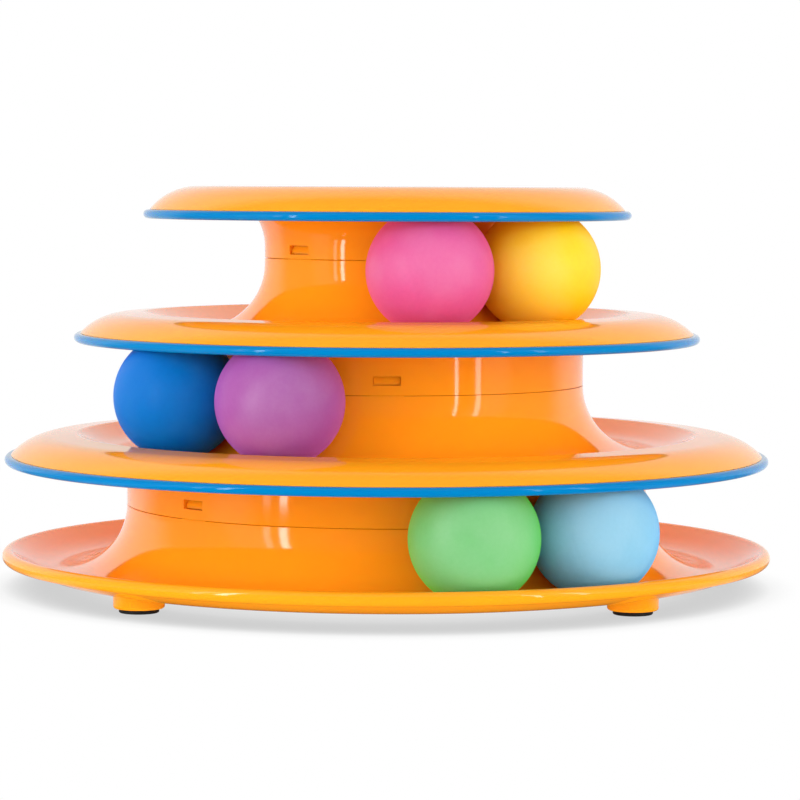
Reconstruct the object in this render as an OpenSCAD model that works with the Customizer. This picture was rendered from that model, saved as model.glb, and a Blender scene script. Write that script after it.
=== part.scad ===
// Cat ball track toy: a snap-together tower of three ball tracks with a domed, open top.
// Millimetres. The floor is z = 0 and the tower's axis is the Z axis.

/* [Balls] */
// Outside diameter of a ball
ball_d = 39.6; // [37:0.2:40.4]
// Wall of a hollow ball
ball_wall = 1.2; // [0.8:0.1:2]
// Gap between the bottom of a ball and the floor of its track
ball_rest = 0.3; // [0.2:0.05:0.6]
// Turn of the pink ball from the front, in degrees
pink_turn = 12.4; // [-180:0.1:180]
// Turn of the purple ball from the front, in degrees
purple_turn = -22.4; // [-180:0.1:180]
// Turn of the green ball from the front, in degrees
green_turn = 14.3; // [-180:0.1:180]
// Gap from the pink ball to the yellow ball on its right
yellow_gap = 0.46; // [0.3:0.01:30]
// Gap from the purple ball to the blue ball on its left
blue_gap = 0.62; // [0.3:0.01:30]
// Gap from the green ball to the light blue ball on its right
light_blue_gap = 0.7; // [0.3:0.01:30]

/* [Tracks] */
// Side room between a ball and the wall of its track
ball_room = 1.2; // [1:0.1:2]
// Wall of every moulded level
wall = 1.8; // [1.4:0.1:2.2]
// Distance from the tower's axis to the middle of the lowest track
low_orbit = 105.6; // [98:0.1:125]
// How much further in the middle track lies than the lowest
mid_step = 20.7; // [18:0.1:24]
// How much further in the upper track lies than the middle one
top_step = 24; // [21:0.1:27]
// Room over a ball of the lowest track, up to the crest above it
low_headroom = 1.85; // [1.4:0.05:9]
// Room over a ball of the middle track
mid_headroom = 2.3; // [1.7:0.05:9]
// Room over a ball of the upper track
top_headroom = 4.1; // [3:0.05:9]

/* [Base dish] */
// Lean of the dish's outer wall, in degrees above level
dish_lean = 33.4; // [30:0.2:40]
// Straight part of the dish's outer wall
dish_straight = 5.3; // [4:0.1:8]
// Radius of the rounded bead round the dish
bead_r = 2.2; // [1.8:0.1:3]

/* [Crests and domes] */
// Height of a level's crest above the floor of its own track
crest_rise = 4.7; // [4.4:0.1:6]
// Rounding of the ridge where a ramp meets its crest
crest_round = 3; // [1:0.5:5]
// Slope of the crest down and outwards from that ridge, in degrees
crest_fall = 3.4; // [1:0.2:5]
// How much further out the second level's ramp puts that ridge than a round channel would
lower_ramp = 2.4; // [1.6:0.1:4]
// How much further out the third level's ramp puts it
upper_ramp = 5.2; // [4.9:0.1:7]
// Width of the second level's crest
lower_land = 6.9; // [5:0.1:9]
// Width of the third level's crest
upper_land = 5.7; // [5.4:0.1:9]
// Radius of the dome that falls from a crest to its rim
dome_r = 20; // [19:0.5:24]
// Drop from a level's crest to the middle of its rim band
rim_drop = 7.85; // [7.2:0.05:9]

/* [Rim bands] */
// Height of a rim band
band_h = 2.9; // [2.4:0.1:3.4]
// How far a rim band stands out from the dome above it
band_out = 1.95; // [1.6:0.05:2.6]
// Height of the skirt inside a rim band
skirt_h = 1.3; // [0.8:0.1:1.6]
// Wall of that skirt
skirt_wall = 1.2; // [1:0.1:1.4]
// How far the dome reaches over the top of a rim band
band_cover = 0.8; // [0.5:0.1:1.2]

/* [Joints between levels] */
// Shadow gap between a column and the collar that stands on it
seam_gap = 0.25; // [0.15:0.05:0.8]
// Height of the cap's seam above the middle of the channel under it
cap_seam_up = 1.7; // [0.8:0.1:2.4]
// Height of the plug that goes up inside a collar
plug_h = 8.6; // [8.2:0.1:12]
// Wall of the plug
plug_wall = 1.6; // [1.2:0.1:2]
// Clearance between a plug and its collar
plug_gap = 0.2; // [0.1:0.05:0.4]
// Height of the step that joins a plug to its column
plug_step = 3.2; // [2.4:0.1:5]
// Width of a raised pad that carries the collar
seat_pad_w = 10.6; // [8:0.2:14]

/* [Snap windows] */
// Number of snap windows in a collar
snap_count = 4; // [3:1:6]
// Turn of the first and third collars' windows from the front, in degrees
odd_snap_turn = 45; // [0:5:90]
// Turn of the second collar's windows from the front, in degrees
even_snap_turn = 0; // [0:5:90]
// Width of a snap window
window_w = 8.6; // [6:0.2:10]
// Height of a snap window
window_h = 2.9; // [2.2:0.1:3.4]
// Height of a snap window above the middle of the channel under it
window_up = 3.2; // [3:0.1:4]
// Clearance between a snap hook and its window
snap_gap = 0.3; // [0.2:0.05:0.5]
// How far a snap hook's face lies behind the collar's face
hook_sunk = 1.1; // [0.8:0.1:1.3]
// Upright part of a snap hook's face
hook_face = 1; // [0.6:0.1:1.2]
// Width of the slots that free a snap finger
finger_slot = 1.2; // [0.8:0.1:2]

/* [Top cap] */
// Radius of the flare under the cap
flare_r = 17.8; // [16:0.1:19]
// Width of the level land on top of the cap
cap_land = 3.9; // [2:0.1:6]
// Drop from the cap's crest to the middle of its rim band
cap_rim_drop = 9.05; // [8.5:0.05:10]
// Width of the safety bar across the top opening
bar_w = 12; // [8:0.5:18]
// Thickness of the safety bar
bar_h = 3.4; // [2.6:0.1:5]
// Depth of the safety bar's top below the cap's crest
bar_down = 5; // [3:0.1:8]
// Radius of the curve that widens each end of the safety bar
bar_flare = 9; // [5:0.5:12]

/* [Feet] */
// Diameter of a foot boss
boss_d = 15.8; // [14.5:0.1:18]
// How far a foot boss hangs below the underside of the lowest track
boss_drop = 2.75; // [2.4:0.05:6]
// Rounding of a foot boss's lower edge
boss_round = 0.9; // [0.4:0.1:1.2]
// Turn of the feet from the front, in degrees
foot_turn = 45.5; // [30:0.5:60]
// Diameter of a rubber foot pad
pad_d = 12.3; // [10:0.1:12.6]
// Height of a foot pad that shows below its boss
pad_show = 1.3; // [0.8:0.1:3]
// Depth of the socket that holds a foot pad
pad_sink = 1.2; // [0.8:0.1:1.6]
// Clearance round a foot pad in its socket
pad_gap = 0.1; // [0.05:0.05:0.2]
// Rounding of a foot pad's lower edge
pad_round = 0.5; // [0.2:0.1:0.7]

/* [Hidden] */
$fn = 144;

// One overrun for every cut
over = 1;
// How far each rounding stands off true tangency, so that its edges cross cleanly
blend = 0.02;

// Plastic and rubber colours
orange = [0.97, 0.55, 0.1];
band_blue = [0.0, 0.55, 0.83];
rubber_black = [0.08, 0.08, 0.08];

// Radius of the round channel that a ball runs in
track_r = ball_d / 2 + ball_room;
// Height of the lowest track's floor above the ground
low_floor = pad_show + boss_drop + wall;
// Height of each crest, over the balls of the track below it
lower_crest = low_floor + ball_rest + ball_d + low_headroom + wall;
mid_floor = lower_crest - crest_rise;
upper_crest = mid_floor + ball_rest + ball_d + mid_headroom + wall;
top_floor = upper_crest - crest_rise;
cap_crest = top_floor + ball_rest + ball_d + top_headroom + wall;
// Height of the middle of each round channel
low_middle = low_floor + track_r;
mid_middle = mid_floor + track_r;
top_middle = top_floor + track_r;
cap_seam = top_middle + cap_seam_up;
mid_orbit = low_orbit - mid_step;
top_orbit = mid_orbit - top_step;
// Outside radius of each column at its seam
low_column_r = low_orbit - track_r;
mid_column_r = mid_orbit - track_r;
top_column_r = top_orbit - track_r;
half_gap = seam_gap / 2;

// Where a round channel's wall alone would meet the crest, outwards from the middle of the track
round_lip = sqrt(pow(track_r, 2) - pow(track_r - crest_rise, 2));
lower_lip_at = mid_orbit + round_lip + lower_ramp;
upper_lip_at = top_orbit + round_lip + upper_ramp;
lower_dome_at = lower_lip_at + lower_land;
upper_dome_at = upper_lip_at + upper_land;
// Height of a crest above the shoulder that covers its rim band
shoulder_drop = rim_drop - band_h / 2;
cap_shoulder_drop = cap_rim_drop - band_h / 2;
flare_at = top_column_r + flare_r;
cap_dome_at = flare_at + cap_land;
flare_z = cap_crest - wall - flare_r;

// Outer edge and height of the shoulder over each rim band
lower_edge = lower_dome_at + dome_reach(shoulder_drop);
upper_edge = upper_dome_at + dome_reach(shoulder_drop);
cap_edge = cap_dome_at + dome_reach(cap_shoulder_drop);
lower_shoulder = lower_crest - shoulder_drop;
upper_shoulder = upper_crest - shoulder_drop;
cap_shoulder = cap_crest - cap_shoulder_drop;

// Turn of the second ball of each track
yellow_turn = pink_turn + pair_turn(top_orbit, yellow_gap);
blue_turn = purple_turn - pair_turn(mid_orbit, blue_gap);
light_blue_turn = green_turn + pair_turn(low_orbit, light_blue_gap);

// Angle between two balls of one track that lie a gap apart
function pair_turn(orbit, gap) = 2 * asin((ball_d + gap) / 2 / orbit);

// Reach of the dome from its centre out to a shoulder
function dome_reach(drop) = sqrt(pow(dome_r, 2) - pow(dome_r - drop, 2));

// Height of the ridge between a ramp and its crest
function ridge_z(dome_at, crest, lip_at) =
    crest - dome_r + (dome_r - blend) * cos(crest_fall)
    + (dome_at + (dome_r - blend) * sin(crest_fall) - lip_at) * tan(crest_fall);

// Lean of the ramp that runs from a round channel up to a point out and above its middle
function ramp_lean(out, up) = atan2(out, -up) - acos((track_r - blend) / norm([out, up]));

// Middle of the bead round the dish
bead_at = low_orbit + (track_r + bead_r) * sin(dish_lean) + dish_straight * cos(dish_lean);
bead_z = low_middle - (track_r + bead_r) * cos(dish_lean) + dish_straight * sin(dish_lean);

// A rectangle of a section, from x0 out to x1 and from z0 up to z1
module block(x0, x1, z0, z1) {
    translate([x0, z0]) square([x1 - x0, z1 - z0]);
}

// A circle of a section about the point x, z
module disc(x, z, r) {
    translate([x, z]) circle(r = r);
}

// The upper outer quarter of such a circle
module quarter_disc(x, z, r) {
    intersection() {
        disc(x, z, r);
        block(x, x + r + over, z, z + r + over);
    }
}

// Section of a round channel, from a height on its column side down and round to an angle past its floor
module channel_skin(orbit, middle, top, sweep) {
    reach = 2 * track_r;
    centre = [orbit, middle];
    intersection() {
        difference() {
            disc(orbit, middle, track_r + wall);
            disc(orbit, middle, track_r);
        }
        polygon([
            [orbit, top], [orbit - reach, top], centre - [reach, reach],
            centre - [0, reach], centre + 2 * reach * [sin(sweep), -cos(sweep)], centre
        ]);
    }
}

// Section of the upright wall that carries a column on above its channel
module column_rise(column_r, low, high) {
    polygon([
        [column_r, low], [column_r, high], [column_r - wall, high], [column_r - wall, low],
        [column_r - wall / 2, low - wall]
    ]);
}

// Section of the room over a round channel and its ramp, grown by a thickness
module channel_room(orbit, middle, lean, grow) {
    centre = [orbit, middle];
    up = 2 * track_r * [cos(lean), sin(lean)];
    foot = centre + (track_r + grow - blend) * [sin(lean), -cos(lean)];
    disc(orbit, middle, track_r + grow);
    polygon([centre, foot, foot + up, centre + up]);
}

// Section of all that lies under a crest and its dome, sunk by a depth
module under_dome(dome_at, crest, inner_x, sunk) {
    r = dome_r - sunk;
    cz = crest - dome_r;
    tip = [dome_at, cz] + (r - blend) * [sin(crest_fall), cos(crest_fall)];
    run = tip[0] - inner_x;
    polygon([
        [dome_at, cz], tip, [inner_x, tip[1] + run * tan(crest_fall)], [inner_x, cz]
    ]);
    quarter_disc(dome_at, cz, r);
}

// Section of the upright skirt that a rim band is seated on
module skirt(edge, shoulder) {
    outer = edge - band_cover;
    block(outer - skirt_wall, outer, shoulder - skirt_h, shoulder + wall / 4);
}

// Section of a ramp, a crest, its dome and its skirt, outside a round channel
module crest_skin(orbit, middle, lip_at, dome_at, crest, lean) {
    shoulder = crest - shoulder_drop;
    difference() {
        under_dome(dome_at, crest, orbit, 0);
        difference() {
            union() {
                under_dome(dome_at, crest, orbit - over, wall);
                block(orbit - over, dome_at + dome_r + over, crest - dome_r - over, shoulder);
            }
            channel_room(orbit, middle, lean, wall);
        }
        channel_room(orbit, middle, lean, 0);
        ridge_rounding([lip_at, ridge_z(dome_at, crest, lip_at)], lean);
    }
    skirt(dome_at + dome_reach(shoulder_drop), shoulder);
}

// What a rounding takes off the ridge between a ramp and its crest
module ridge_rounding(corner, lean) {
    off_ramp = [-sin(lean), cos(lean)];
    off_crest = [sin(crest_fall), cos(crest_fall)];
    middle = corner - (crest_round - blend) * (off_ramp + off_crest) / (1 + off_ramp * off_crest);
    reach = crest_round + over;
    difference() {
        polygon([
            middle, middle + reach * off_crest, middle + reach * (off_crest + off_ramp),
            middle + reach * off_ramp
        ]);
        disc(middle[0], middle[1], crest_round);
    }
}

// Section of the collar that a level stands on, reaching up into its channel's wall
module collar(column_r, seam, orbit, middle) {
    difference() {
        block(column_r - wall, column_r, seam + half_gap, middle);
        disc(orbit, middle, track_r + wall / 2);
    }
}

// Section of the plug that goes up inside the next collar, with the step that carries it
module plug(column_r, seam) {
    outer = column_r - wall - plug_gap;
    block(outer - plug_wall, outer, seam - plug_step, seam + plug_h);
    block(outer - plug_wall, column_r - wall / 2, seam - plug_step, seam - half_gap);
}

// Raised pads on a column's edge, one under each snap window, set back a little from its face
module seat_pads(column_r, seam, turn) {
    sweep = 2 * asin(seat_pad_w / 2 / column_r);
    outer = column_r - plug_gap / 2;
    for (i = [0 : snap_count - 1])
        rotate([0, 0, turn - sweep / 2 + i * 360 / snap_count - 90])
            rotate_extrude(angle = sweep)
                block(column_r - wall, outer, seam - seam_gap, seam + half_gap);
}

// Ramped snap hooks on a plug, one behind each window
module snap_hooks(column_r, middle, turn) {
    root = column_r - wall - plug_gap;
    face = column_r - hook_sunk;
    low = middle + window_up + snap_gap;
    high = middle + window_up + window_h - snap_gap;
    for (i = [0 : snap_count - 1])
        rotate([0, 0, turn + i * 360 / snap_count - 90])
            rotate([90, 0, 0])
                linear_extrude(height = window_w - 2 * snap_gap, center = true)
                    polygon([
                        [root - plug_wall / 2, low], [face, low], [face, low + hook_face],
                        [root, high], [root - plug_wall / 2, high]
                    ]);
}

// Slots that free a finger of the plug on each side of a hook
module finger_slots(column_r, seam, turn) {
    outer = column_r - wall - plug_gap;
    start = outer - plug_wall - over;
    for (i = [0 : snap_count - 1], side = [-1, 1])
        rotate([0, 0, turn + i * 360 / snap_count - 90])
            translate([start, side * (window_w + finger_slot) / 2 - finger_slot / 2, seam + seam_gap])
                cube([outer + plug_gap / 2 - start, finger_slot, plug_h + over]);
}

// Snap windows through a collar
module snap_windows(column_r, middle, turn) {
    for (i = [0 : snap_count - 1])
        rotate([0, 0, turn + i * 360 / snap_count - 90])
            translate([column_r - wall - over, -window_w / 2, middle + window_up])
                cube([wall + 2 * over, window_w, window_h]);
}

// The snap parts that a level carries on top of its column
module column_top(column_r, middle, seam, turn) {
    difference() {
        rotate_extrude() plug(column_r, seam);
        finger_slots(column_r, seam, turn);
    }
    seat_pads(column_r, seam, turn);
    snap_hooks(column_r, middle, turn);
}

// One foot boss with a rounded edge, reaching up into the wall of the lowest track
module foot_boss() {
    difference() {
        rotate_extrude() {
            block(0, boss_d / 2 - boss_round, pad_show, low_middle);
            block(0, boss_d / 2, pad_show + boss_round, low_middle);
            disc(boss_d / 2 - boss_round, pad_show + boss_round, boss_round);
        }
        translate([0, 0, pad_show - over]) cylinder(d = pad_d + 2 * pad_gap, h = pad_sink + over);
    }
}

// Places a piece at one of the four feet, unturned
module at_foot(i) {
    turn = [-foot_turn, foot_turn, foot_turn - 180, 180 - foot_turn][i];
    rotate([0, 0, turn - 90]) translate([low_orbit, 0, 0]) rotate([0, 0, 90 - turn]) children();
}

module base_track() {
    color(orange) {
        rotate_extrude() {
            channel_skin(low_orbit, low_middle, low_middle - half_gap, dish_lean);
            dish_wall();
        }
        column_top(low_column_r, low_middle, low_middle, odd_snap_turn);
        difference() {
            for (i = [0 : 3]) at_foot(i) foot_boss();
            rotate_extrude() disc(low_orbit, low_middle, track_r + wall / 2);
        }
    }
}

// Section of the dish's leaning outer wall and its bead
module dish_wall() {
    out = [sin(dish_lean), -cos(dish_lean)];
    up = [cos(dish_lean), sin(dish_lean)];
    centre = [low_orbit, low_middle];
    top = centre + track_r * out;
    polygon([
        top - wall * up, top + wall * out, top + wall * out + dish_straight * up,
        top + dish_straight * up
    ]);
    disc(bead_at, bead_z, bead_r);
}

module lower_track() {
    color(orange)
        level(low_column_r, low_middle, mid_orbit, mid_middle, mid_middle, lower_lip_at,
              lower_dome_at, lower_crest, odd_snap_turn, even_snap_turn);
}

module upper_track() {
    color(orange)
        level(mid_column_r, mid_middle, top_orbit, top_middle, cap_seam, upper_lip_at,
              upper_dome_at, upper_crest, even_snap_turn, odd_snap_turn);
}

// A whole level: collar, channel, ramp, crest, dome, skirt, column and plug
module level(column_r, seam, orbit, middle, next_seam, lip_at, dome_at, crest, turn, next_turn) {
    next_r = orbit - track_r;
    top = next_seam - half_gap;
    lean = ramp_lean(lip_at - orbit, ridge_z(dome_at, crest, lip_at) - middle);
    difference() {
        rotate_extrude() {
            channel_skin(orbit, middle, min(middle, top), lean / 2);
            crest_skin(orbit, middle, lip_at, dome_at, crest, lean);
            collar(column_r, seam, orbit, middle);
            if (top > middle) column_rise(next_r, middle, top);
        }
        snap_windows(column_r, seam, turn);
    }
    column_top(next_r, middle, next_seam, next_turn);
}

// Section of the cap's flare, land and dome, sunk by a depth
module under_cap(sunk) {
    disc(flare_at, flare_z, flare_r + wall - sunk);
    block(flare_at, cap_dome_at, flare_z, cap_crest - sunk);
    quarter_disc(cap_dome_at, cap_crest - dome_r, dome_r - sunk);
}

module top_cap() {
    color(orange) {
        difference() {
            rotate_extrude() {
                difference() {
                    under_cap(0);
                    under_cap(wall);
                    block(0, cap_dome_at + dome_r + over, flare_z - flare_r - wall - over, flare_z);
                    block(flare_at, cap_dome_at + dome_r + over, flare_z - over, cap_shoulder);
                }
                skirt(cap_edge, cap_shoulder);
                block(top_column_r - wall, top_column_r, cap_seam + half_gap, flare_z);
            }
            snap_windows(top_column_r, top_middle, odd_snap_turn);
        }
        safety_bar();
    }
}

// The bar across the funnel, wider where it runs into the wall
module safety_bar() {
    low = cap_crest - bar_down - bar_h;
    long = flare_at;
    difference() {
        translate([0, 0, low]) linear_extrude(height = bar_h) difference() {
            square([2 * long, bar_w + 2 * bar_flare], center = true);
            for (side = [-1, 1]) translate([0, side * (bar_w / 2 + bar_flare)]) {
                square(2 * [top_column_r - bar_flare, bar_flare], center = true);
                for (end = [-1, 1]) translate([end * (top_column_r - bar_flare), 0])
                    circle(r = bar_flare);
            }
        }
        rotate_extrude() disc(flare_at, flare_z, flare_r + wall / 2);
    }
}

// A band with a round edge, seated on a skirt below its shoulder
module rim_band(edge, shoulder) {
    nose = band_h / 2;
    inner = edge - band_cover;
    nose_at = edge + band_out - nose;
    middle = shoulder - nose;
    color(band_blue) rotate_extrude() intersection() {
        union() {
            block(inner, nose_at, middle - nose, middle + nose);
            disc(nose_at, middle, nose);
        }
        block(inner, nose_at + nose, middle - nose, middle + nose);
    }
}

module foot_pad(i) {
    color(rubber_black) at_foot(i) rotate_extrude() {
        block(0, pad_d / 2 - pad_round, 0, pad_show + pad_sink);
        block(0, pad_d / 2, pad_round, pad_show + pad_sink);
        disc(pad_d / 2 - pad_round, pad_round, pad_round);
    }
}

// A sealed hollow ball lying in its track
module ball(orbit, floor_z, turn, tint) {
    color(tint) rotate([0, 0, turn - 90]) translate([orbit, 0, floor_z + ball_rest + ball_d / 2])
        difference() {
            sphere(d = ball_d);
            sphere(d = ball_d - 2 * ball_wall);
        }
}

module lower_rim_band() { rim_band(lower_edge, lower_shoulder); }
module upper_rim_band() { rim_band(upper_edge, upper_shoulder); }
module cap_rim_band() { rim_band(cap_edge, cap_shoulder); }
module pink_ball() { ball(top_orbit, top_floor, pink_turn, [0.94, 0.4, 0.62]); }
module yellow_ball() { ball(top_orbit, top_floor, yellow_turn, [1, 0.87, 0.32]); }
module purple_ball() { ball(mid_orbit, mid_floor, purple_turn, [0.66, 0.38, 0.64]); }
module blue_ball() { ball(mid_orbit, mid_floor, blue_turn, [0, 0.42, 0.74]); }
module green_ball() { ball(low_orbit, low_floor, green_turn, [0.5, 0.8, 0.45]); }
module light_blue_ball() { ball(low_orbit, low_floor, light_blue_turn, [0.6, 0.8, 0.9]); }

base_track();
lower_track();
upper_track();
top_cap();
lower_rim_band();
upper_rim_band();
cap_rim_band();
foot_pad(0);  // foot_pad_front_left
foot_pad(1);  // foot_pad_front_right
foot_pad(2);  // foot_pad_back_left
foot_pad(3);  // foot_pad_back_right
pink_ball();
yellow_ball();
purple_ball();
blue_ball();
green_ball();
light_blue_ball();
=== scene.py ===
"""Looks, studio and camera of a round cat toy: three stacked ball tracks under a domed top.

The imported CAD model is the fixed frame. Every moulding is turned again here from the same sizes,
finely enough for glossy plastic, and rides on the body that its CAD node belongs to.
"""

import logging
import math
from dataclasses import dataclass, field
from enum import Enum
from typing import Callable, Mapping, Sequence

import bpy
from mathutils import Euler, Matrix, Vector


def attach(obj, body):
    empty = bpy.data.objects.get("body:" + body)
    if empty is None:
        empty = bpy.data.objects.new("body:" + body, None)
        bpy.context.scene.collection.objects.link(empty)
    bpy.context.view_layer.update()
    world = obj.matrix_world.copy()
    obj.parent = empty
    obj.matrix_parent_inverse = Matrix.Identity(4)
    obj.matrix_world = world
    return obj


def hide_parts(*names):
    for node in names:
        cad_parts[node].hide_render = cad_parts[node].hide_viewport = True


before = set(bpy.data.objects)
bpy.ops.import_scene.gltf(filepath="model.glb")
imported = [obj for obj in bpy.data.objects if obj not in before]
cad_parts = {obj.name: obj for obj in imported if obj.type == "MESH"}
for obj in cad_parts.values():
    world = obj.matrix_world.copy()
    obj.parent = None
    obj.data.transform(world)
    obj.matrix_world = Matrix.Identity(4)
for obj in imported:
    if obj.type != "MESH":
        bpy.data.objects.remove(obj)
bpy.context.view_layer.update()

LOG = logging.getLogger("cat_ball_track")

MM = 0.001
ABOUT_TOWER = (0.0, 0.0, 1.0)
ORIGIN = (0.0, 0.0, 0.0)
WHITE = (1.0, 1.0, 1.0)

# Facets of a full turn round the tower, and of a full circle in a section
TOWER_FACETS, SECTION_FACETS = 192, 96
# Nearer than this, points are merged: in an outline, and in a finished mesh
OUTLINE_MERGE, MESH_MERGE = 1e-7, 1e-6

Point = tuple[float, float]
Colour = tuple[float, float, float]
Shape = bpy.types.Object
Socket = bpy.types.NodeSocket


# Modelling helpers


def deselect() -> None:
    """Leaves object mode clean, with nothing selected."""
    if bpy.context.object is not None and bpy.context.object.mode != "OBJECT":
        bpy.ops.object.mode_set(mode="OBJECT")
    bpy.ops.object.select_all(action="DESELECT")


def select(*pieces: Shape) -> None:
    """Selects only these pieces and makes the first one active.

    Args:
        pieces: The objects.
    """
    deselect()
    for piece in pieces:
        piece.select_set(True)
    bpy.context.view_layer.objects.active = pieces[0]


def modify(piece: Shape, kind: str, **settings: object) -> Shape:
    """Adds a modifier to a piece and applies it.

    Args:
        piece: The object.
        kind: Type of the modifier.
        settings: Settings of the modifier.

    Returns:
        The piece.
    """
    select(piece)
    bpy.ops.object.modifier_add(type=kind)
    modifier = piece.modifiers[-1]
    for key, value in settings.items():
        setattr(modifier, key, value)
    bpy.ops.object.modifier_apply(modifier=modifier.name)
    return piece


def polar(centre: Point, radius: float, angle: float) -> Point:
    """Gives a circle's point by its angle in degrees, from the first axis to the second."""
    turn = math.radians(angle)
    return centre[0] + radius * math.cos(turn), centre[1] + radius * math.sin(turn)


def standing(orbit: float, turn: float, height: float = 0.0) -> Vector:
    """Gives a place round the tower by its turn in degrees, from the front to the right."""
    return Vector((*polar((0, 0), orbit, turn - 90), height))


def rise(height: float, radius: float) -> float:
    """Gives the angle in degrees at which a point of a circle stands this high."""
    return math.degrees(math.asin(height / radius))


def half_width(height: float, radius: float) -> float:
    """Gives half the width of a circle at a height above its centre."""
    return math.sqrt(radius**2 - height**2)


@dataclass
class Outline:
    """A closed section of a turned piece, drawn from point to point.

    Attributes:
        corners: Distance from the axis, height and edge rounding of each corner so far.
        round_steps: Facets of a rounded edge of less than a millimetre.
        round_turn: Turn of one facet of a broader rounding, in radians.
        round_share: Share of a straight line that the rounding of one end may use.
    """

    corners: list[tuple[float, float, float]] = field(default_factory=list)
    round_steps: int = 3
    round_turn: float = 0.04
    round_share: float = 0.45

    def to(self, x: float, z: float, rounding: float = 0.0) -> "Outline":
        """Draws a straight line to a corner, which gets a rounded edge of this radius."""
        self.corners.append((x, z, rounding))
        return self

    def arc(
        self,
        centre: Point,
        radius: float,
        start: float,
        end: float,
        step: float = 3.0,
        ends: tuple[float, float] = (0.0, 0.0),
    ) -> "Outline":
        """Draws an arc, whose first point is joined by a straight line.

        Args:
            centre: Centre of the arc.
            radius: Radius of the arc.
            start: Angle of its first point in degrees.
            end: Angle of its last point, smaller than start for a clockwise arc.
            step: Largest turn of one facet in degrees.
            ends: Edge rounding of the first and of the last point.

        Returns:
            The outline itself.
        """
        count = max(2, math.ceil(abs(end - start) / step))
        for i in range(count + 1):
            x, z = polar(centre, radius, start + (end - start) * i / count)
            self.to(x, z, ends[0] if i == 0 else ends[1] if i == count else 0.0)
        return self

    def points(self) -> list[Point]:
        """Works out the outline with its edges rounded.

        Returns:
            The points in order, without the first one again at the end.
        """
        out: list[Point] = []
        count = len(self.corners)
        for i, (x, z, rounding) in enumerate(self.corners):
            here = Vector((x, z))
            before = Vector(self.corners[i - 1][:2]) - here
            after = Vector(self.corners[(i + 1) % count][:2]) - here
            if rounding <= 0 or min(before.length, after.length) < OUTLINE_MERGE:
                out.append((x, z))
                continue
            bend = before.angle(after)
            reach = min(
                rounding / math.tan(bend / 2),
                self.round_share * before.length,
                self.round_share * after.length,
            )
            radius = reach * math.tan(bend / 2)
            first = here + before.normalized() * reach
            last = here + after.normalized() * reach
            inward = (before.normalized() + after.normalized()).normalized()
            middle = here + inward * (radius / math.sin(bend / 2))
            steps = self.round_steps
            if rounding >= MM:
                steps = math.ceil((math.pi - bend) / self.round_turn)
            for k in range(steps + 1):
                spoke = (first - middle).lerp(last - middle, k / steps)
                out.append(tuple(middle + spoke.normalized() * radius))
        return out


def draw(name: str, points: Sequence[Point]) -> Shape:
    """Draws a closed outline in the plane y = 0 as a chain of extruded edges.

    Args:
        name: Name of the new object.
        points: Distance from the axis and height of each point.

    Returns:
        The object, left in edit mode with all of it selected.
    """
    deselect()
    bpy.ops.mesh.primitive_plane_add(size=MM, location=ORIGIN, enter_editmode=True)
    piece = bpy.context.object
    piece.name = piece.data.name = name
    bpy.ops.mesh.merge(type="CENTER")
    x, z = points[0]
    bpy.ops.transform.translate(value=(x, 0, z))
    for to_x, to_z in [*points[1:], points[0]]:
        bpy.ops.mesh.extrude_region_move(
            TRANSFORM_OT_translate={"value": (to_x - x, 0, to_z - z)}
        )
        x, z = to_x, to_z
    bpy.ops.mesh.select_all(action="SELECT")
    bpy.ops.mesh.remove_doubles(threshold=OUTLINE_MERGE)
    return piece


def close_up(piece: Shape) -> Shape:
    """Merges doubled points, turns every face outwards and goes back to object mode.

    Args:
        piece: The object in edit mode.

    Returns:
        The same object.
    """
    bpy.ops.mesh.select_all(action="SELECT")
    bpy.ops.mesh.remove_doubles(threshold=MESH_MERGE)
    bpy.ops.mesh.delete_loose()
    bpy.ops.mesh.select_all(action="SELECT")
    bpy.ops.mesh.normals_make_consistent(inside=False)
    bpy.ops.object.mode_set(mode="OBJECT")
    return piece


def turned(name: str, outline: Outline, facets: int = TOWER_FACETS) -> Shape:
    """Turns a closed outline once round the tower's axis.

    Args:
        name: Name of the new object.
        outline: The section to turn.
        facets: Facets in the full turn.

    Returns:
        The closed ring or disc.
    """
    piece = draw(name, outline.points())
    bpy.ops.mesh.spin(steps=facets, angle=math.tau, center=ORIGIN, axis=ABOUT_TOWER)
    return close_up(piece)


def swept(name: str, points: Sequence[Point], sweep: float, facets: int = 6) -> Shape:
    """Turns a filled outline through a part of a turn, centred on the +X axis.

    Args:
        name: Name of the new object.
        points: The outline.
        sweep: Angle in degrees.
        facets: Facets of the sweep.

    Returns:
        The closed block.
    """
    piece = draw(name, points)
    bpy.ops.mesh.edge_face_add()
    bpy.ops.mesh.spin(
        steps=facets, angle=math.radians(sweep), center=ORIGIN, axis=ABOUT_TOWER
    )
    close_up(piece)
    went = math.copysign(1, sum(v.co.y for v in piece.data.vertices))
    piece.data.transform(Matrix.Rotation(math.radians(-went * sweep / 2), 4, "Z"))
    return piece


def prism(name: str, points: Sequence[Point], width: float) -> Shape:
    """Extrudes a filled outline to both sides of the plane y = 0.

    Args:
        name: Name of the new object.
        points: The outline.
        width: Whole width of the prism.

    Returns:
        The closed prism.
    """
    piece = draw(name, points)
    bpy.ops.mesh.edge_face_add()
    bpy.ops.transform.translate(value=(0, -width / 2, 0))
    bpy.ops.mesh.extrude_region_move(TRANSFORM_OT_translate={"value": (0, width, 0)})
    return close_up(piece)


def block(name: str, low: Sequence[float], high: Sequence[float]) -> Shape:
    """Adds a box between two corners, with its place in its mesh.

    Args:
        name: Name of the new object.
        low: Lowest corner.
        high: Highest corner.

    Returns:
        The box.
    """
    deselect()
    bpy.ops.mesh.primitive_cube_add(size=1, location=ORIGIN, enter_editmode=True)
    piece = bpy.context.object
    piece.name = piece.data.name = name
    bpy.ops.transform.resize(value=[b - a for a, b in zip(low, high)])
    bpy.ops.transform.translate(value=[(a + b) / 2 for a, b in zip(low, high)])
    return close_up(piece)


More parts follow.
